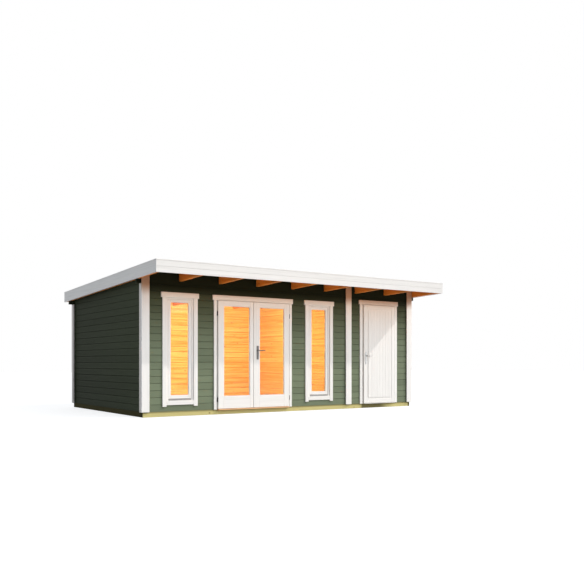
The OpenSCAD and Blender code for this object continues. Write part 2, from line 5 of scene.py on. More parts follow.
import bmesh
import bpy
import numpy as np
from mathutils import Matrix, Vector


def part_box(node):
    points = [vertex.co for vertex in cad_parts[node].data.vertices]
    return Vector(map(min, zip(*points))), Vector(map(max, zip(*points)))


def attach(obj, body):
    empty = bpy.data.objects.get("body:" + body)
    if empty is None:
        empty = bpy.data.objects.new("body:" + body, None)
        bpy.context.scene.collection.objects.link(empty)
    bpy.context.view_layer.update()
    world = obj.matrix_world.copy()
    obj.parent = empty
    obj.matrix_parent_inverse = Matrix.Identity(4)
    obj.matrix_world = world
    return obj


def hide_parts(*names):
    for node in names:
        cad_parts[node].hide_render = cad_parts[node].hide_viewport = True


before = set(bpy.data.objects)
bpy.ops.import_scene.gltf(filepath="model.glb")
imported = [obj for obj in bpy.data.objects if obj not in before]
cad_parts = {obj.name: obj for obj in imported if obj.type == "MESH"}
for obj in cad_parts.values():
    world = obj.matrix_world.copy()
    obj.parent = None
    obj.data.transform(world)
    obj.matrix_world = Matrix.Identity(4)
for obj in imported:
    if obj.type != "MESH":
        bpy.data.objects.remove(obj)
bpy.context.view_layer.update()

# ---- Foundation beams and joists ----
# Planed softwood, pressure treated to a pale olive yellow. Two beams lie under the long walls and
# the joists butt between them. Painted shade darkens the wood behind its front face, at its right
# end, along its top under the wall and below the store door.

ARRIS = 0.003
BEAM_ARRIS = 0.004
SHARP = math.radians(30)
RINGS = 0.005
OLIVE = (208, 199, 140)
OLIVE_DARK = (176, 160, 102)
OLIVE_KNOT = (108, 88, 48)
FRONT_FACE_DEPTH = 0.01
SHADE_BEHIND_FRONT = 0.88
END_SHADE_LENGTH = 0.045
SHADE_AT_END = 0.75
TOP_SHADE_START = 0.032
TOP_SHADE_FULL = 0.012
SHADE_AT_TOP = 0.5
STORE_EDGE = 0.06
STORE_SHADE_FADE_START = 0.4
STORE_SHADE_FADE_END = 0.1
SHADE_BELOW_STORE = 0.68


class Link:
    """The output of a node. Sums of links and numbers add the nodes that work them out."""

    def __init__(self, nodes, socket):
        self.nodes = nodes
        self.socket = socket

    def other(self, output):
        """Another output of the same node."""
        return Link(self.nodes, self.socket.node.outputs[output])

    def __add__(self, other):
        return self.nodes.maths("ADD", self, other)

    def __sub__(self, other):
        return self.nodes.maths("SUBTRACT", self, other)

    def __rsub__(self, other):
        return self.nodes.maths("SUBTRACT", other, self)

    def __mul__(self, other):
        return self.nodes.maths("MULTIPLY", self, other)

    def __truediv__(self, other):
        return self.nodes.maths("DIVIDE", self, other)

    __radd__ = __add__
    __rmul__ = __mul__


class Nodes:
    """A tree of nodes."""

    def __init__(self, tree):
        self.tree = tree

    def node(self, kind, settings, sockets, output=0):
        """Adds a node from its type, its settings and the values or links of its sockets."""
        made = self.tree.nodes.new(kind)
        for name, value in settings.items():
            setattr(made, name, value)
        for name, value in sockets.items():
            if isinstance(value, Link):
                self.tree.links.new(value.socket, made.inputs[name])
            else:
                made.inputs[name].default_value = value
        return Link(self, made.outputs[output]) if made.outputs else made

    def maths(self, operation, *values):
        return self.node("ShaderNodeMath", {"operation": operation}, dict(enumerate(values)))


class Finish(Nodes):
    """A material: its main shader and the nodes that feed it."""

    def __init__(self, name, **plain):
        self.material = bpy.data.materials.new(name)
        self.material.use_nodes = True
        super().__init__(self.material.node_tree)
        self.shader = self.tree.nodes["Principled BSDF"]
        for socket, value in plain.items():
            self.shader.inputs[socket.replace("_", " ")].default_value = value

    def feed(self, socket, link):
        self.tree.links.new(link.socket, self.shader.inputs[socket])

    def colour(self, seen):
        """A colour given as it is seen, from 0 to 255, as the shader's light values."""
        return (*(((c / 255 + 0.055) / 1.055) ** 2.4 for c in seen), 1)

    def mix(self, share, first, second):
        """The first colour, and the second one where share is 1."""
        pair = {6: first, 7: second}
        for slot, value in pair.items():
            if not isinstance(value, Link):
                pair[slot] = self.colour(value)
        return self.node("ShaderNodeMix", {"data_type": "RGBA"}, {0: share, **pair}, output=2)

    def dimmed(self, colour, share):
        """The colour, darker by this share."""
        return self.node("ShaderNodeVectorMath", {"operation": "SCALE"},
            {0: colour, "Scale": 1 - share})

    def spot(self):
        """Where a point of the piece is, in metres."""
        return self.node("ShaderNodeTexCoord", {}, {}, output=3)

    def place(self, axis):
        """Where it is along X, Y or Z."""
        return self.node("ShaderNodeSeparateXYZ", {}, {0: self.spot()}, output="XYZ".index(axis))

    def before(self, axis, limit):
        """1 before this place along an axis, and 0 beyond it."""
        return self.maths("LESS_THAN", self.place(axis), limit)

    def beyond(self, axis, limit):
        """1 beyond this place along an axis, and 0 before it."""
        return self.maths("GREATER_THAN", self.place(axis), limit)

    def noise(self, vector, detail=3):
        return self.node("ShaderNodeTexNoise", {},
            {"Vector": vector, "Scale": 1, "Detail": detail, "Roughness": 0.55})

    def stretch(self, vector, scale):
        return self.node("ShaderNodeVectorMath", {"operation": "MULTIPLY"}, {0: vector, 1: scale})

    def mottle(self, scale, detail=3):
        """Soft patches, so many to the metre along X, Y and Z."""
        return self.noise(self.stretch(self.spot(), scale), detail)

    def fade(self, value, start, end):
        """0 up to start and 1 from end, with a soft turn between them."""
        return self.node("ShaderNodeMapRange", {"interpolation_type": "SMOOTHSTEP"},
            {"Value": value, "From Min": start, "From Max": end})

    def relief(self, height, depth):
        """Raises the surface by depth, in metres, where height is 1."""
        bump = self.node("ShaderNodeBump", {}, {"Strength": 1, "Distance": depth, "Height": height})
        self.feed("Normal", bump)


class Timber(Finish):
    """A finish on wood, whose patterns follow each board's own grain."""

    def __init__(self, name, **plain):
        super().__init__(name, **plain)
        self.lay = self.node("ShaderNodeAttribute", {"attribute_name": "lay"}, {}, output=1)
        self.board, self.joint = (self.node("ShaderNodeAttribute", {"attribute_name": name}, {},
            output=2) for name in ("board", "joint"))

    def streaks(self, along, across, detail=3):
        """Soft streaks with the grain, so many to the metre along it and across it."""
        return self.noise(self.stretch(self.lay, (along, across, across)), detail)

    def rings(self, spacing, wander=0.025):
        """Late wood of the growth rings, about a pith that wanders along the board."""
        bend = (self.streaks(0.7, 4, 2) - 0.5) * wander
        across, through = (self.node("ShaderNodeSeparateXYZ", {}, {0: self.lay}, output=i) + bend
            for i in (1, 2))
        radius = self.maths("SQRT", across * across + through * through)
        return self.maths("POWER", self.maths("FRACT", radius / spacing), 2.5)

    def knots(self, spread=2.6, size=0.026):
        """Knots of up to this radius, about spread to the metre: 1 in a knot, 0 outside it."""
        flat = self.stretch(self.lay, (spread, spread * 1.4, 0))
        ragged = (self.streaks(45, 45, 2) - 0.5) * 0.04
        cell = self.node("ShaderNodeTexVoronoi", {"voronoi_dimensions": "2D"},
            {"Vector": flat, "Scale": 1})
        chance = self.node("ShaderNodeSeparateXYZ", {}, {0: cell.other("Color")})
        reach = self.maths("POWER", chance, 1.6) * (size * spread) + 0.004
        return 1 - self.fade((cell + ragged) / reach, 0.5, 1.0)


def islands(mesh):
    """The number of the separate solid that each vertex belongs to."""
    edges = np.empty(2 * len(mesh.edges), int)
    mesh.edges.foreach_get("vertices", edges)
    first, second = edges.reshape(-1, 2).T
    label = np.arange(len(mesh.vertices))
    while True:
        least = label.copy()
        np.minimum.at(least, first, label[second])
        np.minimum.at(least, second, label[first])
        least = least[least]
        if (least == label).all():
            return np.unique(label, return_inverse=True)[1]
        label = least


def points(mesh):
    flat = np.empty(3 * len(mesh.vertices))
    mesh.vertices.foreach_get("co", flat)
    return flat.reshape(-1, 3)


def solid_boxes(mesh):
    """Lowest and highest corners of each separate solid."""
    number = islands(mesh)
    low = np.full((number.max() + 1, 3), np.inf)
    high = -low
    np.minimum.at(low, number, points(mesh))
    np.maximum.at(high, number, points(mesh))
    return number, low, high


def merged(node):
    """A copy of a CAD piece with its loose triangles joined and its flat faces whole."""
    work = bmesh.new()
    work.from_mesh(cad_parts[node].data)
    bmesh.ops.remove_doubles(work, verts=work.verts, dist=1e-5)
    bmesh.ops.dissolve_limit(work, angle_limit=math.radians(1), verts=work.verts,
        edges=work.edges)
    return work


def to_mesh(work):
    mesh = bpy.data.meshes.new("work")
    work.to_mesh(mesh)
    work.free()
    return mesh


def boxes_of(node):
    """The corners of each solid of a CAD piece, from left to right."""
    _, low, high = solid_boxes(to_mesh(merged(node)))
    pairs = [(Vector(a), Vector(b)) for a, b in zip(low, high)]
    return sorted(pairs, key=lambda pair: tuple(round(c, 3) for c in pair[0]))


def eased(work, radius=ARRIS, segments=2):
    """Rounds the sharp edges, as planing and sanding leave them."""
    sharp = [e for e in work.edges if e.is_manifold and e.calc_face_angle() > SHARP]
    if radius:
        bmesh.ops.bevel(work, geom=sharp, offset=radius, segments=segments, profile=0.5,
            affect="EDGES", clamp_overlap=True)
    return to_mesh(work)


def boards(boxes, radius=ARRIS):
    """Planed boards, one in each box that two corners give."""
    work = bmesh.new()
    for low, high in boxes:
        low, high = Vector(low), Vector(high)
        bmesh.ops.create_cube(work, size=1,
            matrix=Matrix.LocRotScale((low + high) / 2, None, high - low))
    return eased(work, radius)


def lay_grain(mesh, seed, along=None, joint=None):
    """Stores in `lay` how the wood lies in each board: along, across and through its grain, from
    a pith of its own, and in `board` a number of the board's own. Where its joints are so deep,
    `joint` runs from 0 on its faces to 1 in the joints."""
    number, low, high = solid_boxes(mesh)
    chance = np.random.default_rng(seed)
    count = len(low)
    pith = chance.uniform(0.02, 0.09, (count, 2)) * chance.choice((-1, 1), (count, 2))
    start = chance.uniform(0, 50, count)
    size = high - low
    if along:
        size[:, "XYZ".index(along)] += 99
    axes = size.argsort(1)[:, ::-1]
    spot = points(mesh) - ((low + high) / 2)[number]
    rows = np.arange(len(spot))
    lay = np.stack([spot[rows, axes[number, turn]] for turn in range(3)], 1)
    lay[:, 0] += start[number]
    lay[:, 1:] += pith[number]
    mesh.attributes.new("lay", "FLOAT_VECTOR", "POINT").data.foreach_set("vector", lay.ravel())
    own = chance.uniform(0, 1, count)[number]
    mesh.attributes.new("board", "FLOAT", "POINT").data.foreach_set("value", own)
    if joint:
        thin = axes[number, 2]
        inside = size[number, thin] / 2 - abs(spot[rows, thin])
        mesh.attributes.new("joint", "FLOAT", "POINT").data.foreach_set("value",
            np.clip(inside / joint, 0, 1))


def put(name, data):
    """Puts a new object in the scene."""
    made = bpy.data.objects.new(name, data)
    bpy.context.scene.collection.objects.link(made)
    return made


def piece(name, mesh, finish, body, slot, *nodes, **wood):
    """Puts a finished mesh in the scene as one piece of the house."""
    lay_grain(mesh, sum(map(ord, name)), **wood)
    mesh.name = name
    mesh.materials.clear()
    mesh.materials.append(finish.material)
    made = put(name, mesh)
    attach(made, body)
    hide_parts(*nodes)


treated = Timber("treated_timber", Roughness=0.8, Specular_IOR_Level=0.03)
tone = treated.mix(treated.streaks(1.2, 30) * 0.8, OLIVE, OLIVE_DARK)
tone = treated.mix(treated.rings(RINGS) * 0.35, tone, OLIVE_DARK)
tone = treated.mix(treated.knots(3) * 0.7, tone, OLIVE_KNOT)
base_low, base_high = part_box("foundation_beams")
store_low, store_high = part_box("store_leaf")
along_front = treated.place("X")
behind_front_face = treated.beyond("Y", base_low.y + FRONT_FACE_DEPTH)
right_end = treated.beyond("X", base_high.x - END_SHADE_LENGTH)
below_wall = treated.fade(treated.place("Z"), base_high.z - TOP_SHADE_START, base_high.z - TOP_SHADE_FULL)
right_of_edge = treated.fade(along_front, store_low.x - STORE_EDGE, store_low.x)
right_of_store = treated.fade(along_front, store_high.x - STORE_SHADE_FADE_START, store_high.x - STORE_SHADE_FADE_END)
# Painted shade: darker behind the front face, at the right end, along the top under the wall and
# below the store door.
painted_shade = behind_front_face * SHADE_BEHIND_FRONT
for more_shade in (right_end * SHADE_AT_END, below_wall * SHADE_AT_TOP,
        (right_of_edge - right_of_store) * SHADE_BELOW_STORE):
    painted_shade = treated.maths("MAXIMUM", painted_shade, more_shade)
treated.feed("Base Color", treated.dimmed(tone, painted_shade))
treated.relief(treated.rings(RINGS), 0.0004)

piece("foundation_timbers", eased(merged("foundation_beams"), BEAM_ARRIS), treated, "house",
    "base_timber", "foundation_beams")
piece("joist_timbers", eased(merged("floor_joists"), BEAM_ARRIS), treated, "house",
    "base_timber", "floor_joists")

# ---- Floor ----
# Tongued and grooved softwood boards, left bare. They run along the house, nailed to the joists,
# and are cut round the door frames and the partition.

FLOOR_PITCH = 0.096
FLOOR_T = 0.019
FLOOR_CLEAR = 0.001
PAST_FLOOR = 0.5
BOARD_PLAY = 0.0002
PINE_RINGS = 0.0045
PINE = (234, 194, 124)
PINE_DARK = (204, 144, 70)
PINE_PALE = (242, 210, 146)
PINE_LINE = (168, 100, 40)
PINE_JOINT_DIRT_AND_SHADE = (168, 106, 50)
KNOT = (142, 78, 36)


class Making(Nodes):
    """A tree that makes a shape from its inputs."""

    def __init__(self, name, **inputs):
        super().__init__(bpy.data.node_groups.new(name, "GeometryNodeTree"))
        sockets = self.tree.interface
        for socket, kind in inputs.items():
            sockets.new_socket(socket, in_out="INPUT", socket_type="NodeSocket" + kind)
        sockets.new_socket("Shape", in_out="OUTPUT", socket_type="NodeSocketGeometry")
        self.inputs = [self.node("NodeGroupInput", {}, {}, output=i) for i in range(len(inputs))]

    def chance(self, seed):
        """A random direction and length at each point, up to 1 along each axis."""
        return self.node("FunctionNodeRandomValue", {"data_type": "FLOAT_VECTOR"},
            {"Min": (-1, -1, -1), "Max": (1, 1, 1), "Seed": seed})

    def finished(self, shape, finish):
        """The tree, which ends with this shape in its finish."""
        shape = self.node("GeometryNodeRealizeInstances", {}, {"Geometry": shape})
        shape = self.node("GeometryNodeSetMaterial", {}, {"Geometry": shape, "Material": finish})
        self.node("NodeGroupOutput", {}, {"Shape": shape})
        return self.tree


def boarding_tree():
    """Repeats a board by a step, with a little play, and trims it to its openings."""
    nodes = Making("boarding", Board="Geometry", Boards="Int", Step="Vector", Play="Vector",
        Openings="Object", Finish="Material")
    board, count, step, play, openings, finish = nodes.inputs
    line = nodes.node("GeometryNodeMeshLine", {"mode": "OFFSET"}, {"Count": count, "Offset": step})
    shift = nodes.node("ShaderNodeVectorMath", {"operation": "MULTIPLY"},
        {0: nodes.chance(7), 1: play})
    line = nodes.node("GeometryNodeSetPosition", {}, {"Geometry": line, "Offset": shift})
    laid = nodes.node("GeometryNodeInstanceOnPoints", {}, {"Points": line, "Instance": board})
    laid = nodes.node("GeometryNodeRealizeInstances", {}, {"Geometry": laid})
    cut = nodes.node("GeometryNodeObjectInfo", {"transform_space": "ORIGINAL"},
        {"Object": openings}, output="Geometry")
    laid = nodes.node("GeometryNodeMeshBoolean", {"operation": "DIFFERENCE", "solver": "EXACT"},
        {"Mesh 1": laid, "Mesh 2": cut})
    return nodes.finished(laid, finish)


def grown(tree, mesh, **inputs):
    """The plain mesh that a node tree makes of this one."""
    source = put("source", mesh)
    modifier = source.modifiers.new("Making", "NODES")
    modifier.node_group = tree
    for socket in tree.interface.items_tree:
        if socket.name in inputs:
            modifier[socket.identifier] = inputs[socket.name]
    graph = bpy.context.evaluated_depsgraph_get()
    result = bpy.data.meshes.new_from_object(source.evaluated_get(graph))
    source.modifiers.remove(modifier)
    bpy.data.objects.remove(source)
    return result


boarding = boarding_tree()


def laid_boards(board, count, step, play, openings, finish):
    """Boards side by side, less the openings, which are a closed mesh."""
    cutter = put("openings", openings)
    made = grown(boarding, board, Boards=count, Step=step, Play=play, Openings=cutter,
        Finish=finish.material)
    bpy.data.objects.remove(cutter)
    return made


def drawn(outline, start, end):
    """A solid with this outline in Y and Z, drawn out along X."""
    work = bmesh.new()
    ends = [[work.verts.new((x, y, z)) for y, z in outline] for x in (start, end)]
    for i in range(len(outline)):
        j = (i + 1) % len(outline)
        work.faces.new((ends[0][i], ends[1][i], ends[1][j], ends[0][j]))
    work.faces.new(ends[0])
    work.faces.new(reversed(ends[1]))
    bmesh.ops.recalc_face_normals(work, faces=work.faces)
    return to_mesh(work)


def tongued(high, thick, chamfer, deep, tongue, gap):
    """Outline of a board that stands on edge: a groove below, a tongue above, and chamfers that
    make a V in each joint. The joint is open outside the tongue and tight inside it."""
    hairline, play = 0.0001, 0.0004
    middle, half, top, tight = thick / 2, tongue / 2, high - gap, high - hairline
    lower = [(0, chamfer), (deep, 0), (middle - half - play, 0), (middle - half - play, tongue)]
    mirrored = [(thick - y, z) for y, z in lower]
    upper = [(thick, tight - chamfer), (thick - deep, tight), (middle + half, tight),
        (middle + half, top + tongue - gap), (middle - half, top + tongue - gap),
        (middle - half, top), (deep, top), (0, top - chamfer)]
    return lower + mirrored[::-1] + upper


def turned(mesh, matrix):
    mesh.transform(matrix)
    return mesh


def bare(finish):
    """The colour of planed pine with nothing on it."""
    tone = finish.mix(finish.fade(finish.streaks(0.9, 36), 0.3, 0.7) * 0.85, PINE, PINE_DARK)
    tone = finish.mix(finish.fade(finish.streaks(1.5, 70), 0.45, 0.7) * 0.7, tone, PINE_DARK)
    tone = finish.mix(finish.rings(PINE_RINGS) * 0.35, tone, PINE_DARK)
    tone = finish.mix(finish.fade(finish.board, 0.4, 1) * 0.25, tone, PINE_PALE)
    tone = finish.mix(finish.fade(finish.streaks(0.9, 60), 0.56, 0.68) * 0.5, tone, PINE_LINE)
    tone = finish.mix(finish.knots() * 0.85, tone, KNOT)
    # Dirt and painted shade in the joints.
    return finish.mix(finish.joint, tone, PINE_JOINT_DIRT_AND_SHADE)


bare_pine = Timber("bare_pine", Roughness=0.62)
bare_pine.feed("Base Color", bare(bare_pine))
bare_pine.relief(bare_pine.rings(PINE_RINGS), 0.0002)

floor_low, floor_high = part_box("floor_boards")
floor_size = floor_high - floor_low
floor_count = round(floor_size.y / FLOOR_PITCH)
floor_pitch = floor_size.y / floor_count
floor_outline = tongued(floor_pitch, FLOOR_T, chamfer=0.0015, deep=0.001, tongue=0.006, gap=0.001)
floor_board = turned(drawn([(z, y) for y, z in floor_outline], floor_low.x, floor_high.x),
    Matrix.Translation((0, floor_low.y, floor_low.z)))
clear = Vector((FLOOR_CLEAR, FLOOR_CLEAR, PAST_FLOOR))
holes = [(low - clear, high + clear) for node in
    ("double_door_frame", "store_door_frame", "partition_wall") for low, high in boxes_of(node)]
piece("floor_boarding", laid_boards(floor_board, floor_count, (0, floor_pitch, 0),
    (0, 0, BOARD_PLAY), boards(holes, 0), bare_pine), bare_pine, "house", "bare_pine",
    "floor_boards", along="X")

# ---- Log walls ----
# Planed spruce boards 44 mm thick, with a tongue, a groove and a V joint, stacked on edge and cut
# round doors and windows. They are bare inside and a muted green outside. The green carries painted
# light on the lower front and the right, painted shade close under the roof in front and far back
# on the left, and dirt and painted shade in the V joints.

BOARD_H = 0.120
V_HIGH = 0.004
V_DEEP = 0.007
TONGUE = 0.012
SHADOW_GAP = 0.0015
LOG_PLAY = 0.00015
FRAME_FIT = 0.0005
ROOF_BOARD_T = 0.019
ROOF_FIT = 0.0005
PAST_WALL = 0.05
PAST_TOP = 0.5
PAST_FOOT = 0.1
PAST_SIDES = 4
ROUNDING = 0.01
PAINT_EDGE = 0.022
# The two greens are one paint in painted shade and in painted light; the shade shares below darken
# it further.
GREEN_SHADED = (70, 77, 58)
GREEN_SUNLIT = (126, 136, 111)
SUNLIT_BELOW = 1.0
SUNLIT_RIGHT = 0.6
EAVES_FROM = 2.0
EAVES_SHADE = 0.72
LEFT_SHADE = 0.12
FAR_SHADE = 0.3
JOINT_SHADE = 0.42

wall_low, wall_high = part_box("back_wall")
front_low, front_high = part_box("front_wall_left")
wall_t = front_high.y - front_low.y
left_x, right_x = wall_low.x, wall_high.x
front_y, back_y = front_low.y, wall_high.y
base_z, front_top = front_low.z, front_high.z
roof_low, roof_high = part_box("roof_boards")
roof_drop = roof_high.z - ROOF_BOARD_T - roof_low.z
roof_slope = roof_drop / (roof_high.y - roof_low.y)


def under_roof(y):
    """Height of the underside of the roof boards."""
    return roof_high.z - ROOF_BOARD_T - roof_slope * (y - roof_low.y)


green = Timber("green_paint", Specular_IOR_Level=0.015)
height = green.place("Z")
on_front = green.before("Y", front_y + PAINT_EDGE)
on_back = green.beyond("Y", back_y - PAINT_EDGE)
on_left = green.before("X", left_x + PAINT_EDGE)
on_right = green.beyond("X", right_x - PAINT_EDGE)
indoors = (1 - on_front) * (1 - on_back) * (1 - on_left) * (1 - on_right)
above_sunlit = green.fade(height, SUNLIT_BELOW, front_top)
at_eaves = green.fade(height, EAVES_FROM, front_top)
to_back = green.fade(green.place("Y"), front_y, back_y)
brushed = green.streaks(2.5, 160)
# Painted light on the lower front and the right; painted shade close under the roof in front and
# far back on the left.
painted_sunlight = green.maths("MAXIMUM", on_right * SUNLIT_RIGHT, on_front * (1 - above_sunlit))
paint = green.mix(painted_sunlight, GREEN_SHADED, GREEN_SUNLIT)
paint = green.dimmed(paint, on_front * at_eaves * EAVES_SHADE)
paint = green.dimmed(paint, on_left * (to_back * FAR_SHADE + LEFT_SHADE))
paint = green.dimmed(paint, green.streaks(0.5, 9) * 0.16 + green.board * 0.12 + brushed * 0.14)
# Dirt and painted shade in the V joints.
paint = green.dimmed(paint, green.joint * JOINT_SHADE)
green.feed("Base Color", green.mix(indoors, paint, bare(green)))
green.feed("Roughness", green.streaks(3, 60) * 0.16 + 0.42)
green.relief(brushed * 0.7 + green.rings(RINGS) * 0.3, 0.00025)

log_outline = tongued(BOARD_H, wall_t, V_HIGH, V_DEEP, TONGUE, SHADOW_GAP)


def log_wall(name, start, end, top, openings, turn, finish, slot, *nodes):
    """A wall of log boards from one corner to another, turned from the X axis."""
    start, end = Vector(start), Vector(end)
    place = Matrix.Translation(start) @ Matrix.Rotation(turn, 4, "Z")
    board = turned(drawn(log_outline, 0, (end - start).length), place)
    count = math.ceil((top - base_z) / BOARD_H - ROUNDING)
    play = tuple(place.to_3x3() @ Vector((0, LOG_PLAY, 0)))
    mesh = laid_boards(board, count, (0, 0, BOARD_H), play, openings, finish)
    piece(name, mesh, finish, "house", slot, *nodes, along="Y" if turn else "X", joint=V_DEEP)


frame_gap = Vector((FRAME_FIT, PAST_WALL, FRAME_FIT))
window_holes = [(low - frame_gap, high + frame_gap) for low, high in boxes_of("window_frames")]
below = Vector((0, 0, PAST_FOOT))
door_holes = [(low - frame_gap - below, high + frame_gap)
    for node in ("double_door_frame", "store_door_frame") for low, high in boxes_of(node)]
# Boards without an opening are trimmed by a block that stands clear of the house.
no_hole = boards([((9, 9, 9), (9.1, 9.1, 9.1))], 0)
log_wall("front_log_wall", (left_x, front_y, base_z), (right_x, front_y, base_z), front_top,
    boards(window_holes + door_holes, 0), 0, green, "green_boards", "front_wall_left",
    "front_wall_over_doors", "front_wall_middle", "front_wall_right")
log_wall("back_log_wall", (left_x, back_y - wall_t, base_z), (right_x, back_y - wall_t, base_z),
    wall_high.z, no_hole, 0, green, "green_boards", "back_wall")

front_in, back_in = front_y + wall_t, back_y - wall_t
above_walls = [(front_y, under_roof(front_y) - ROOF_FIT), (back_y, under_roof(back_y) - ROOF_FIT),
    (back_y, roof_high.z + PAST_TOP), (front_y, roof_high.z + PAST_TOP)]


def cross_wall(name, x, finish, slot, *nodes):
    """A wall from front to back, whose highest boards are cut to the roof's slope."""
    log_wall(name, (x, front_in, base_z), (x, back_in, base_z), under_roof(front_in),
        drawn(above_walls, -PAST_SIDES, PAST_SIDES), math.pi / 2, finish, slot, *nodes)


cross_wall("left_log_wall", left_x + wall_t, green, "green_boards", "side_walls")
cross_wall("right_log_wall", right_x, green, "green_boards", "side_walls")
cross_wall("partition_log_wall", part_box("partition_wall")[1].x, bare_pine, "bare_pine",
    "partition_wall")

# ---- Top logs ----
# A thicker board on each long wall carries the roof. Its ends stand out under the roof edge, and
# it is notched for every rafter.

SMALL_ARRIS = 0.002

for name in ("front_top_log", "back_top_log"):
    piece(name + "_painted", eased(merged(name), SMALL_ARRIS), green, "house",
        "green_boards", name, along="X")

# ---- Rafters ----
# Planed solid pine, oiled. The rafters stand on edge in notches of the top logs and run out in
# front as a canopy over the doors.

RAFTER = (240, 158, 64)
RAFTER_DARK = (210, 118, 42)
SOFFIT_JOINT_DIRT_AND_SHADE = (70, 34, 12)

oiled_pine = Timber("oiled_pine", Roughness=0.5)
late = oiled_pine.rings(RINGS)
tone = oiled_pine.mix(oiled_pine.streaks(1.1, 22), RAFTER, RAFTER_DARK)
tone = oiled_pine.mix(late * 0.5, tone, RAFTER_DARK)
tone = oiled_pine.mix(oiled_pine.knots(2.5) * 0.8, tone, KNOT)
# Dirt and painted shade in the soffit's V joints.
tone = oiled_pine.mix(oiled_pine.joint * 0.8, tone, SOFFIT_JOINT_DIRT_AND_SHADE)
oiled_pine.feed("Base Color", tone)
oiled_pine.relief(late, 0.0003)
piece("rafter_beams", eased(merged("rafters"), BEAM_ARRIS), oiled_pine, "house", "bare_pine",
    "rafters", along="Y")

# ---- Roof boards ----
# Tongued and grooved boards nailed across the rafters, with their V joints downwards, so that
# they are the ceiling inside and the soffit outside.

ROOF_PITCH = 0.096
ROOF_V = 0.004

tilt = math.atan(roof_slope)
slope_length = (roof_high.y - roof_low.y) / math.cos(tilt)
roof_count = round(slope_length / ROOF_PITCH)
roof_pitch = slope_length / roof_count
roof_outline = tongued(roof_pitch, ROOF_BOARD_T, ROOF_V, ROOF_V, tongue=0.006, gap=0.001)
down_slope = Matrix.Rotation(-tilt, 4, "X")
roof_start = Vector((0, roof_low.y, under_roof(roof_low.y)))
roof_board = turned(drawn([(z, y) for y, z in roof_outline], roof_low.x, roof_high.x),
    Matrix.Translation(roof_start) @ down_slope)
roof_step = tuple(down_slope @ Vector((0, roof_pitch, 0)))
piece("roof_boarding", laid_boards(roof_board, roof_count, roof_step, (0, 0, BOARD_PLAY), no_hole,
    oiled_pine), oiled_pine, "house", "bare_pine", "roof_boards", along="X", joint=ROOF_V)

# ---- Roofing felt ----
# Bitumen felt with mineral grit, rolled out along the house from the low edge up, so that each
# roll laps over the one below it. Clout nails hold the laps, and the felt is turned up at the rim.

FELT_T = 0.004
ROLL_W = 1.0
LAP = 0.09
LAP_RISE = 0.02
HEAD_SIDES = 12
HEAD_HIGH = 0.0016
NAIL_R = 0.005
NAIL_DOME = 0.0004
NAIL_STEP = 0.1
NAIL_IN = 0.02
SPOT_SINK = 0.0008
GRIT = (112, 113, 112)
GRIT_DARK = (48, 49, 50)
MOSS = (70, 76, 66)
WORN = (118, 118, 116)


def spots(places):
    """A mesh of loose points."""
    mesh = bpy.data.meshes.new("spots")
    mesh.from_pydata([tuple(place) for place in places], [], [])
    return mesh


def fixing_tree():
    """Sets a low round head at each spot, with a recess or, below zero, a dome in its middle."""
    nodes = Making("fixings", Spots="Geometry", Radius="Float", Height="Float", Recess="Float",
        Facing="Vector", Spin="Vector", Finish="Material")
    places, radius, height, recess, facing, spin, finish = nodes.inputs
    head = nodes.node("GeometryNodeMeshCone", {"fill_type": "NGON"}, {"Vertices": HEAD_SIDES,
        "Radius Top": radius * 0.86, "Radius Bottom": radius, "Depth": height})
    rim = nodes.node("GeometryNodeExtrudeMesh", {"mode": "FACES"},
        {"Mesh": head, "Selection": head.other("Top"), "Offset Scale": 0})
    inner = nodes.node("GeometryNodeScaleElements", {"domain": "FACE"},
        {"Geometry": rim, "Selection": rim.other("Top"), "Scale": 0.55})
    head = nodes.node("GeometryNodeExtrudeMesh", {"mode": "FACES"},
        {"Mesh": inner, "Selection": rim.other("Top"), "Offset Scale": 0 - recess})
    turn = nodes.node("ShaderNodeVectorMath", {"operation": "MULTIPLY_ADD"},
        {0: nodes.chance(3), 1: spin, 2: facing})
    set_in = nodes.node("GeometryNodeInstanceOnPoints", {}, {"Points": places, "Instance": head,
        "Rotation": turn})
    return nodes.finished(set_in, finish)


fixings = fixing_tree()

felt = Finish("roofing_felt", Roughness=0.92)
grit = felt.mottle((700, 700, 700), 2)
patch = felt.mottle((1.3, 2.2, 2), 4)
worn = felt.mottle((0.6, 14, 14))
tone = felt.mix(felt.fade(grit, 0.35, 0.7), GRIT_DARK, GRIT)
tone = felt.mix(felt.fade(patch, 0.4, 0.7) * 0.5, tone, MOSS)
felt.feed("Base Color", felt.mix(felt.fade(worn, 0.5, 0.75) * 0.4, tone, WORN))
felt.relief(grit, 0.0008)

felt_low, felt_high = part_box("roof_felt")
felt_work = bmesh.new()
roll_rise = FELT_T * 0.8
roll_y = felt_high.y
while roll_y > felt_low.y + LAP:
    low_y, high_y = roll_y, max(roll_y - ROLL_W, felt_low.y)
    lower = [(y, under_roof(y) + ROOF_BOARD_T + rise) for y, rise in ((high_y, 0),
        (low_y - LAP - LAP_RISE, 0), (low_y - LAP, roll_rise), (low_y, roll_rise))]
    upper = [(y, z + FELT_T) for y, z in reversed(lower)]
    felt_work.from_mesh(drawn(lower + upper, felt_low.x, felt_high.x))
    roll_y = high_y + LAP if high_y > felt_low.y else high_y
piece("felt_rolls", to_mesh(felt_work), felt, "house", "roof_felt", "roof_felt", along="X")


def metal(name, bright, dull, roughness):
    """A brushed and lacquered metal with faint cloudy wear."""
    made = Finish(name, Metallic=1.0)
    brushed = made.mottle((900, 900, 60), 2)
    cloud = made.mottle((25, 25, 25))
    made.feed("Base Color", made.mix(cloud, bright, dull))
    made.feed("Roughness", brushed * 0.12 + cloud * 0.1 + roughness)
    made.relief(brushed, 0.00002)
    return made


light_metal = metal("light_fittings", bright=(228, 228, 226), dull=(206, 206, 205), roughness=0.24)

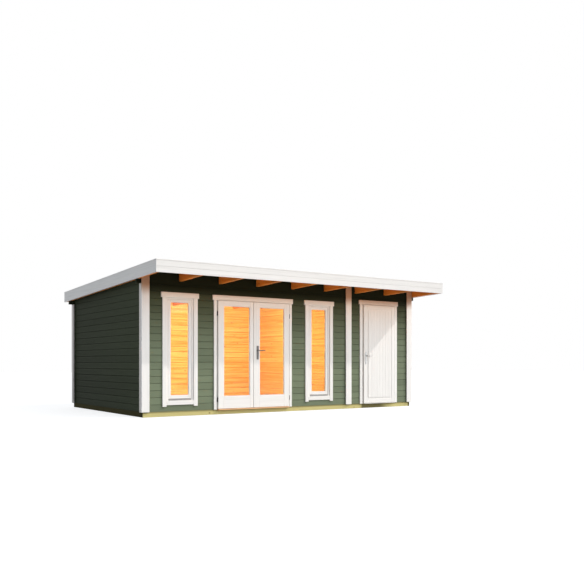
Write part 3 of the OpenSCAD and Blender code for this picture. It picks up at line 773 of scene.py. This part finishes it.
nail_count = round((felt_high.x - felt_low.x) / NAIL_STEP)
nail_xs = [felt_low.x + (i + 0.5) * (felt_high.x - felt_low.x) / nail_count
    for i in range(nail_count)]
nail_ys = [felt_high.y - NAIL_IN]
while nail_ys[-1] - ROLL_W + LAP > felt_low.y:
    nail_ys.append(nail_ys[-1] - ROLL_W + LAP)
nail_spots = spots((x, y, under_roof(y) + ROOF_BOARD_T + FELT_T + roll_rise - SPOT_SINK)
    for y in nail_ys + [felt_low.y + NAIL_IN] for x in nail_xs)
nails = grown(fixings, nail_spots, Radius=NAIL_R, Height=HEAD_HIGH, Recess=-NAIL_DOME,
    Facing=(-tilt, 0.0, 0.0), Spin=(0.0, 0.0, 0.0), Finish=light_metal.material)
piece("felt_clout_nails", nails, light_metal, "house", "light_fittings")

# ---- Fascias and roof edge ----
# Planed boards, screwed to the rafters' ends, with a translucent white paint that lets the grain
# show. Two stand over each other on the front and the sides, and a strip caps them against the
# felt.

WHITE = (234, 231, 226)
WHITE_THIN = (225, 221, 216)
WHITE_GREY = (202, 198, 193)
ROOF_SHADE_BROWN = (158, 112, 68)
LEFT_SHADE_WHITE = (202, 191, 183)
ROOF_SHADE_FROM = 2.02
LEFT_SHADE_SHARE = 0.8
FASCIA_ARRIS = 0.001
BUTT_GAP = 0.01
CLOSE_GAP = 0.0004
SCREW_R = 0.0045
SCREW_RECESS = 0.0007
SCREWS_APART = 0.05
RAFTER_MIDDLE = 0.03


def whitened(name, colour, grain, roof_shade=0):
    """White paint that lets so much of the grain show. Given a share for shade, it takes that much
    of a painted brown shade, warmed as by bounce light off the oiled wood, close under the roof in
    front, and a painted grey shade on the left side."""
    made = Timber(name, Roughness=0.45)
    late = made.rings(0.006)
    fine = made.streaks(1.6, 110, 4)
    broad = made.fade(made.streaks(0.5, 34), 0.45, 0.7)
    tone = made.mix(made.fade(fine, 0.45, 0.8) * grain, colour, WHITE_GREY)
    tone = made.mix(broad * grain * 0.6 + made.board * 0.12, tone, WHITE_GREY)
    tone = made.mix(late * 0.12, tone, WHITE_GREY)
    # Painted shade: brown, warmed as by bounce light off the oiled wood, close under the roof in
    # front, and grey on the left side.
    if roof_shade:
        near_roof = made.fade(made.place("Z"), ROOF_SHADE_FROM, front_top)
        on_front = made.before("Y", front_y)
        tone = made.mix(near_roof * on_front * roof_shade, tone, ROOF_SHADE_BROWN)
        on_left = made.before("X", left_x) * (1 - on_front)
        tone = made.mix(on_left * LEFT_SHADE_SHARE, tone, LEFT_SHADE_WHITE)
    made.feed("Base Color", tone)
    made.relief(fine * 0.6 + late * 0.4, 0.0002)
    return made


thin_white = whitened("thin_white_paint", WHITE_THIN, grain=0.6)


def closed_up(node):
    """A fascia with its lower boards raised, and its left ones lengthened, to all but touch."""
    work = merged(node)
    for along in (Vector((0, roof_slope, 1)), Vector((1, 0, 0))):
        levels = sorted({round(vert.co.dot(along), 4) for vert in work.verts})
        if len(levels) == 4 and levels[2] - levels[1] < BUTT_GAP:
            for vert in work.verts:
                if round(vert.co.dot(along), 4) == levels[1]:
                    vert.co += Vector((along.x, 0, along.z)) * (levels[2] - levels[1] - CLOSE_GAP)
    return work


for node in ("front_fascia", "side_fascias", "back_fascia"):
    piece(node + "_boards", eased(closed_up(node), FASCIA_ARRIS), thin_white, "house",
        "white_timber", node)
piece("edge_strips_planed", eased(merged("edge_strips"), SMALL_ARRIS), thin_white, "house",
    "white_timber", "edge_strips")

TO_FRONT, TO_RIGHT, TO_BACK, TO_LEFT = 0.0, math.pi / 2, math.pi, -math.pi / 2


def screws(name, places, heading, finish=light_metal, body="house", slot="light_fittings"):
    """Screws that face one way across the ground."""
    outward = Matrix.Rotation(heading, 3, "Z") @ Vector((0, -1, 0))
    sunk = spots(Vector(place) - outward * SPOT_SINK for place in places)
    heads = grown(fixings, sunk, Radius=SCREW_R, Height=HEAD_HIGH, Recess=SCREW_RECESS,
        Facing=(math.pi / 2, 0.0, heading), Spin=(0.0, math.pi, 0.0), Finish=finish.material)
    piece(name, heads, finish, body, slot)


def fascia_screws(name, node, y, heading):
    """Two screws through each board of a fascia into the end of every rafter."""
    rafter_xs = [low.x + RAFTER_MIDDLE for low, high in boxes_of("rafters")]
    screws(name, [(x, y, (low.z + high.z) / 2 + rise) for low, high in boxes_of(node)
        for x in rafter_xs if low.x < x < high.x
        for rise in (-SCREWS_APART / 2, SCREWS_APART / 2)], heading)


fascia_screws("front_fascia_screws", "front_fascia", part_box("front_fascia")[0].y, TO_FRONT)
fascia_screws("back_fascia_screws", "back_fascia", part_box("back_fascia")[1].y, TO_BACK)

# ---- Cover boards ----
# White boards on packing strips hide the ends of the walls at the corners and where the
# partition meets the front and the back. They are screwed on in pairs.

COVER_IN = 0.025
COVER_END = 0.06
COVER_STEP = 0.5

# This white takes painted shade close under the roof in front and on the left side.
white_paint = whitened("white_paint", WHITE, grain=0.36, roof_shade=0.85)

for node in ("front_cover_boards", "side_cover_boards", "back_cover_boards"):
    piece(node + "_planed", eased(merged(node)), white_paint, "house", "white_timber", node,
        along="Z")


def cover_screws(side, covers, outwards, corner, heading):
    """Pairs of screws up each cover board, on the face that its low (0) or high (1) corner has
    outwards, along X (0) or Y (1)."""
    places = []
    for box in covers:
        low, high = box
        length = high.z - low.z - 2 * COVER_END
        steps = round(length / COVER_STEP)
        across = 1 - outwards
        for edge in (low[across] + COVER_IN, high[across] - COVER_IN):
            for i in range(steps + 1):
                place = Vector((edge, edge, low.z + COVER_END + i * length / steps))
                place[outwards] = box[corner][outwards]
                places.append(place)
    screws(side + "_cover_screws", places, heading)


cover_screws("front", boxes_of("front_cover_boards"), 1, 0, TO_FRONT)
cover_screws("back", boxes_of("back_cover_boards"), 1, 1, TO_BACK)
side_covers = boxes_of("side_cover_boards")
cover_screws("left", [box for box in side_covers if box[0].x < 0], 0, 0, TO_LEFT)
cover_screws("right", [box for box in side_covers if box[0].x > 0], 0, 1, TO_RIGHT)

# ---- Windows ----
# Each has a frame let into the wall, a sash of four members with a sealed pane held by beads, and
# white casing boards outside. An aluminium rain rail caps the gap below the sash.

BEAD = 0.010
BEAD_BACK = 0.004
BEAD_PLAY = 0.0005
SEAL = (150, 148, 145)
SEAL_PALE = (172, 170, 166)
SEAL_W = 0.0025
SEAL_T = 0.002
SEAL_LAP = 0.001
PANE_EDGE = 0.010
GLASS = (255, 255, 255)
GLASS_GREEN = (244, 250, 247)
CASING_ARRIS = 0.004
RAIL = 0.016
RAIL_T = 0.003
RAIL_IN = 0.01
RAIL_SUNK = 0.0005
RAIL_LAP = 0.001


def members(low, high, left, right, top, bottom):
    """Two uprights over the full height, with rails between them."""
    inner = high.x - right
    return [
        (low, (low.x + left, high.y, high.z)),
        ((inner, low.y, low.z), high),
        ((low.x + left, low.y, high.z - top), (inner, high.y, high.z)),
        ((low.x + left, low.y, low.z), (inner, high.y, low.z + bottom)),
    ]


def mitred_rim(work, low, high, width, y0, y1):
    """A square bar round an opening in X and Z, on the inside of it, with mitred corners."""
    loops = []
    for inset, y in ((0, y0), (width, y0), (width, y1), (0, y1)):
        x0, x1, z0, z1 = low[0] + inset, high[0] - inset, low[1] + inset, high[1] - inset
        loops.append([work.verts.new(c) for c in ((x0, y, z0), (x1, y, z0), (x1, y, z1),
            (x0, y, z1))])
    made = []
    for i in range(4):
        for k in range(4):
            n, m = (i + 1) % 4, (k + 1) % 4
            made.append(work.faces.new((loops[i][k], loops[i][m], loops[n][m], loops[n][k])))
    bmesh.ops.recalc_face_normals(work, faces=made)


glass = Finish("window_glass", Roughness=0.0, IOR=1.3, Transmission_Weight=1.0)
ripple = glass.mottle((1.5, 1.5, 1.1), 1)
glass.feed("Base Color", glass.mix(ripple * 0.3, GLASS, GLASS_GREEN))
glass.relief(ripple, 0.0006)

rubber = Finish("glazing_seal", Roughness=0.7)
rubber.feed("Base Color", rubber.mix(rubber.mottle((40, 40, 40)), SEAL, SEAL_PALE))


def glazed(name, low, high, pane, body, node):
    """A sash or leaf of four members round its pane, with beads and seals on both faces."""
    pane_low, pane_high = pane
    x0, z0 = pane_low.x + PANE_EDGE, pane_low.z + PANE_EDGE
    x1, z1 = pane_high.x - PANE_EDGE, pane_high.z - PANE_EDGE
    piece(name, boards(members(low, high, x0 - BEAD - low.x, high.x - x1 - BEAD,
        high.z - z1 - BEAD, z0 - BEAD - low.z)), white_paint, body, "white_timber", node)
    beads, seals = bmesh.new(), bmesh.new()
    outer = (x0 - BEAD, z0 - BEAD), (x1 + BEAD, z1 + BEAD)
    seal = (x0 - SEAL_LAP, z0 - SEAL_LAP), (x1 + SEAL_LAP, z1 + SEAL_LAP)
    mitred_rim(beads, *outer, BEAD, low.y + BEAD_BACK, pane_low.y - BEAD_PLAY)
    mitred_rim(beads, *outer, BEAD, pane_high.y + BEAD_PLAY, high.y - BEAD_BACK)
    mitred_rim(seals, *seal, SEAL_W, pane_low.y - SEAL_T, pane_low.y)
    mitred_rim(seals, *seal, SEAL_W, pane_high.y, pane_high.y + SEAL_T)
    piece(name + "_beads", eased(beads, SMALL_ARRIS), white_paint, body, "white_timber", node)
    piece(name + "_seals", to_mesh(seals), rubber, body, "window_glass")


window_sashes = boxes_of("window_sashes")
for side, sash, pane in zip(("left", "right"), window_sashes, boxes_of("window_panes")):
    glazed(side + "_window_sash", *sash, pane, "house", "window_sashes")
piece("window_frame_members", eased(merged("window_frames"), SMALL_ARRIS), white_paint, "house",
    "white_timber", "window_frames")
piece("window_casing_boards", eased(merged("window_casings"), CASING_ARRIS), white_paint, "house",
    "white_timber", "window_casings")

for node in ("window_panes", "left_leaf_pane", "right_leaf_pane"):
    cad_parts[node].material_slots[0].material = glass.material

rails = bmesh.new()
for low, high in window_sashes:
    face = low.y + RAIL_SUNK
    outline = [(face, low.z + RAIL), (face - RAIL, low.z + RAIL / 3), (face - RAIL, low.z - RAIL),
        (face - RAIL + RAIL_T, low.z - RAIL), (face, low.z - RAIL_LAP)]
    rails.from_mesh(drawn(outline, low.x + RAIL_IN, high.x - RAIL_IN))
dull_metal = metal("dull_fittings", bright=(172, 170, 168), dull=(150, 148, 146), roughness=0.3)
piece("window_rain_rails", to_mesh(rails), dull_metal, "house", "light_fittings", along="X")

# ---- Door frames and casings ----
# Painted frames let into the wall, each with a soft seal, a sill whose nose stands out below the
# leaves, and casing boards outside that leave room for the hinges. The double door's sill is
# oiled hardwood with a deeper nose, and the store door's is painted.

DOOR_MEMBER = 0.050
SILL_WOOD = (228, 188, 140)
SILL_DARK = (204, 150, 104)
SILL_LAP = 0.012
NOSE_T = 0.009
NOSE_OUT = 0.012
NOSE_DROP = 0.012
DOOR_SEAL = 0.004
DOOR_SEAL_W = 0.007
DOOR_SEAL_IN = 0.003
SEAL_GREY = (178, 174, 168)
SEAL_DUSTY = (156, 152, 146)

door_seal = Finish("door_seal", Roughness=0.6)
door_seal.feed("Base Color", door_seal.mix(door_seal.mottle((60, 60, 60)), SEAL_GREY, SEAL_DUSTY))

hardwood = Timber("hardwood_sill", Roughness=0.5)
hardwood.feed("Base Color", hardwood.mix(hardwood.streaks(2, 60), SILL_WOOD, SILL_DARK))
hardwood.relief(hardwood.streaks(2, 90), 0.0002)

for name, leaves, sill_finish, sill_slot, drop in (
        ("double_door", ("left_leaf", "right_leaf"), hardwood, "bare_pine", NOSE_DROP),
        ("store_door", ("store_leaf", "store_leaf"), white_paint, "white_timber", 0)):
    low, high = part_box(name + "_frame")
    sill_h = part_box(leaves[0])[0].z + SILL_LAP - low.z
    left_post, right_post, head, sill = members(low, high, DOOR_MEMBER, DOOR_MEMBER, DOOR_MEMBER,
        sill_h)
    piece(name + "_frame_posts", boards([left_post, right_post, head]), white_paint, "house",
        "white_timber", name + "_frame")
    leaf_low, leaf_high = (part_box(leaf)[corner] for corner, leaf in enumerate(leaves))
    nose = ((leaf_low.x, leaf_low.y - NOSE_OUT, low.z - drop), (leaf_high.x, low.y,
        low.z + NOSE_T))
    piece(name + "_sill", boards([sill, nose]), sill_finish, "house", sill_slot, name + "_frame",
        along="X")
    seals = bmesh.new()
    mitred_rim(seals, (leaf_low.x + DOOR_SEAL_IN, leaf_low.z + DOOR_SEAL_IN),
        (leaf_high.x - DOOR_SEAL_IN, leaf_high.z - DOOR_SEAL_IN), DOOR_SEAL_W, low.y - DOOR_SEAL,
        low.y)
    piece(name + "_seal", to_mesh(seals), door_seal, "house", "white_timber")
    piece(name + "_casing_boards", eased(merged(name + "_casing"), CASING_ARRIS), white_paint,
        "house", "white_timber", name + "_casing")

# ---- Glazed leaves ----
# Stiles and rails of laminated pine, tenoned and glued, painted white, with one tall pane each. A
# brush in the left leaf's edge closes the gap between the two.

BRUSH_T = 0.006
BRUSH_OUT = 0.0055
BRUSH_ARRIS = 0.001

for side in ("left", "right"):
    leaf = side + "_leaf"
    glazed(side + "_door_leaf", *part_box(leaf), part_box(leaf + "_pane"), leaf, leaf)
left_low, left_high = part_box("left_leaf")
middle = (left_low.y + left_high.y) / 2
brush = boards([((left_high.x, middle - BRUSH_T / 2, left_low.z),
    (left_high.x + BRUSH_OUT, middle + BRUSH_T / 2, left_high.z))], BRUSH_ARRIS)
piece("meeting_stile_brush", brush, door_seal, "left_leaf", "white_timber")

# ---- Store door ----
# A framed leaf with a panel let in behind its face. Upright tongued boards are planted on the
# panel, with a groove all round them, and stand just proud of the stiles. All is painted white.

STORE_STILE = 0.082
LEAF_BOARD = 0.081
PANEL_BACK = 0.006
PANEL_GROOVE = 0.028
PANEL_PROUD = 0.006

low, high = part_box("store_leaf")
piece("store_door_leaf", boards(members(low, high, STORE_STILE, STORE_STILE, STORE_STILE,
    STORE_STILE)), white_paint, "store_leaf", "white_timber", "store_leaf")
panel_low, panel_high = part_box("store_leaf_boards")
panel_low.y = low.y + PANEL_BACK
piece("store_door_panel", boards([(panel_low, panel_high)], 0), white_paint, "store_leaf",
    "white_timber", "store_leaf_boards", along="Z")
inset = STORE_STILE + PANEL_GROOVE
field_low = Vector((low.x + inset, low.y - PANEL_PROUD, low.z + inset))
field_high = Vector((high.x - inset, panel_low.y, high.z - inset))
panel_count = round((field_high.x - field_low.x) / LEAF_BOARD)
panel_pitch = (field_high.x - field_low.x) / panel_count
panel_outline = tongued(panel_pitch, field_high.y - field_low.y, chamfer=0.001, deep=0.001,
    tongue=0.004, gap=0.0002)
upright = Matrix.Translation(field_low) @ Matrix(((0, 0, 1, 0), (0, 1, 0, 0), (1, 0, 0, 0),
    (0, 0, 0, 1)))
panel_board = turned(drawn(panel_outline, 0, field_high.z - field_low.z), upright)
panel_board.flip_normals()
piece("store_door_boarding", laid_boards(panel_board, panel_count, (panel_pitch, 0, 0),
    (0, BOARD_PLAY, 0), no_hole, white_paint), white_paint, "store_leaf", "white_timber",
    "store_leaf_boards", along="Z")

# ---- Hinges ----
# Drill-in hinges: a pin half screwed into the frame and a socket half in the leaf's edge. They
# are dark on the double door and zinc plated on the store door.

FITTING_ARRIS = 0.0006

hinge_metal = metal("dark_hinges", bright=(78, 74, 72), dull=(52, 49, 47), roughness=0.35)


def turned_part(node, keep=lambda corner: True):
    """A merged copy of a fitting, or of the solids to keep, with round faces shaded smooth."""
    mesh = eased(merged(node), FITTING_ARRIS, 1)
    number, low, high = solid_boxes(mesh)
    unwanted = {i for i in range(len(low)) if not keep(low[i])}
    if unwanted:
        work = bmesh.new()
        work.from_mesh(mesh)
        work.verts.ensure_lookup_table()
        bmesh.ops.delete(work, geom=[work.verts[i] for i, n in enumerate(number)
            if n in unwanted], context="VERTS")
        mesh = to_mesh(work)
    mesh.shade_smooth()
    mesh.set_sharp_from_angle(angle=SHARP)
    return mesh


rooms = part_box("partition_wall")
piece("double_door_pin_hinges", turned_part("frame_hinges", lambda corner: corner[0] < rooms[0].x),
    hinge_metal, "house", "dark_fittings", "frame_hinges")
piece("store_door_pin_hinges", turned_part("frame_hinges", lambda corner: corner[0] > rooms[0].x),
    light_metal, "house", "light_fittings", "frame_hinges")
for leaf, finish, slot in (("left_leaf", hinge_metal, "dark_fittings"),
        ("right_leaf", hinge_metal, "dark_fittings"),
        ("store_leaf", light_metal, "light_fittings")):
    piece(leaf + "_socket_hinges", turned_part(leaf + "_hinges"), finish, leaf, slot,
        leaf + "_hinges")

# ---- Locks and levers ----
# Long plates screwed through the leaf, a lock barrel below, and levers on a sprung spindle. The
# double door's are darkened and the store door's are bright.

PLATE_SCREW_IN = 0.011

dark_metal = metal("dark_fittings", bright=(142, 139, 138), dull=(106, 103, 102), roughness=0.3)
for side, plate_metal, lever_metal, slot in (("right", dark_metal, dark_metal, "dark_fittings"),
        ("store", light_metal, dull_metal, "light_fittings")):
    leaf = side + "_leaf"
    piece(leaf + "_lock_plates", turned_part(leaf + "_plates"), plate_metal, leaf, slot,
        leaf + "_plates")
    piece(leaf + "_lever_handles", turned_part(leaf + "_lever"), lever_metal, side + "_lever",
        slot, leaf + "_lever")
for leaf, finish, slot in (("right_leaf", dull_metal, "dark_fittings"),
        ("store_leaf", light_metal, "light_fittings")):
    low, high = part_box(leaf + "_plates")
    for face, heading, y in (("outer", TO_FRONT, low.y), ("inner", TO_BACK, high.y)):
        screws(leaf + "_" + face + "_plate_screws", [((low.x + high.x) / 2, y, z) for z in
            (low.z + PLATE_SCREW_IN, high.z - PLATE_SCREW_IN)], heading, finish, leaf, slot)

# ---- Floor, light and camera ----
# A white studio floor, a sun from the right in front, and broad soft light from the front and the
# back. A warm glow comes off the terrace and the canopy, and warm lamps hang in the rooms.

FLOOR_REACH = 60
LAMP_DROP = 0.15
LAMP_IN = 0.15
LAMP_ASIDE = 0.2
MIDDLE_ROOM_X = -1.2
MIDDLE_CLEAR = 1.2
CORNER_FAR = 1.1
CORNER_NEAR = 0.6

ground = bpy.data.meshes.new("studio_floor")
ground.from_pydata([(x * FLOOR_REACH, y * FLOOR_REACH, 0) for x, y in
    ((-1, -1), (1, -1), (1, 1), (-1, 1))], [], [(0, 1, 2, 3)])
put("studio_floor", ground)


def shown(nodes):
    """1 for what the camera sees, and what it sees in glass and metal."""
    camera_ray, glossy_ray, passing_ray = (nodes.node("ShaderNodeLightPath", {}, {}, output=i)
        for i in (0, 3, 6))
    return nodes.maths("MAXIMUM", camera_ray, nodes.maths("MAXIMUM", glossy_ray, passing_ray))


floor_white = Finish("studio_floor_white", Roughness=1.0, Specular_IOR_Level=0.0)
seen = shown(floor_white)
floor_white.feed("Base Color", floor_white.mix(seen, (165, 165, 165), (150, 150, 150)))
floor_white.feed("Emission Color", floor_white.mix(seen, (0, 0, 0), (255, 255, 255)))
floor_white.shader.inputs["Emission Strength"].default_value = 0.78
ground.materials.append(floor_white.material)

world = bpy.data.worlds.new("studio")
bpy.context.scene.world = world
world.use_nodes = True
sky = Nodes(world.node_tree)
for node in list(world.node_tree.nodes):
    world.node_tree.nodes.remove(node)
dim = sky.node("ShaderNodeBackground", {}, {"Color": (0.76, 0.87, 1.0, 1), "Strength": 0.57})
white = sky.node("ShaderNodeBackground", {}, {"Color": (1, 1, 1, 1), "Strength": 1.0})
both = sky.node("ShaderNodeMixShader", {}, {0: shown(sky), 1: dim, 2: white})
sky.node("ShaderNodeOutputWorld", {}, {"Surface": both})


def lamp(name, kind, direction, place=(0, 0, 3), **settings):
    """A lamp that shines along a direction."""
    data = bpy.data.lights.new(name, kind)
    made = put(name, data)
    for key, value in settings.items():
        setattr(data if hasattr(data, key) else made, key, value)
    made.rotation_euler = Vector(direction).to_track_quat("-Z", "Y").to_euler()
    made.location = place
    made.visible_camera = False


lamp("sun", "SUN", (-1.856, 1, -1.8), energy=1.85, angle=math.radians(1.2),
    color=(1.0, 0.97, 0.93))
lamp("front_light", "SUN", (-0.45, 1, -0.58), energy=1.88, angle=math.radians(48),
    color=(1.0, 0.99, 0.98), visible_glossy=False)
lamp("back_light", "SUN", (-0.2, -1, -0.5), energy=1.6, angle=math.radians(56),
    color=(1.0, 0.99, 0.98), visible_glossy=False)
lamp("terrace_glow", "AREA", (0, 0.55, 1), (0, front_y - 4, 0.05), energy=38, shape="RECTANGLE",
    size=right_x - left_x, size_y=1.6, color=(1.0, 0.80, 0.60), visible_glossy=False)
lamp("canopy_glow", "AREA", (0, 1, -0.1), (0, front_y - 0.5, front_top - 0.13), energy=5,
    shape="RECTANGLE", size=right_x - left_x, size_y=0.1, color=(1.0, 0.54, 0.19),
    visible_glossy=False)
lamp_y = front_in + LAMP_IN
for room, x0, x1, y, power, tint in (
        ("left", left_x + LAMP_ASIDE, MIDDLE_ROOM_X, lamp_y, 62, (1.0, 0.95, 0.86)),
        ("middle", MIDDLE_ROOM_X, rooms[0].x - MIDDLE_CLEAR, lamp_y, 47, (1.0, 0.90, 0.22)),
        ("corner", rooms[0].x - CORNER_FAR, rooms[0].x - CORNER_NEAR, 0, 30, (1.0, 0.95, 0.6)),
        ("store", rooms[1].x + LAMP_ASIDE, right_x - LAMP_ASIDE, lamp_y, 62, (1.0, 0.8, 0.5))):
    lamp(room + "_room_lamp", "AREA", (0, 1, -0.6), ((x0 + x1) / 2, y, front_top - LAMP_DROP),
        energy=power * (x1 - x0), shape="RECTANGLE", size=x1 - x0, size_y=0.2, color=tint)

camera = bpy.data.cameras.new("camera")
camera.lens = 44.94
camera.sensor_width = 36
camera.shift_y = 0.1221
view = put("camera", camera)
view.location = (-7.832, -12.952, 0.909)
view.rotation_euler = (math.radians(90), 0, math.radians(-34.33))
bpy.context.scene.camera = view
bpy.context.scene.view_settings.view_transform = "Standard"
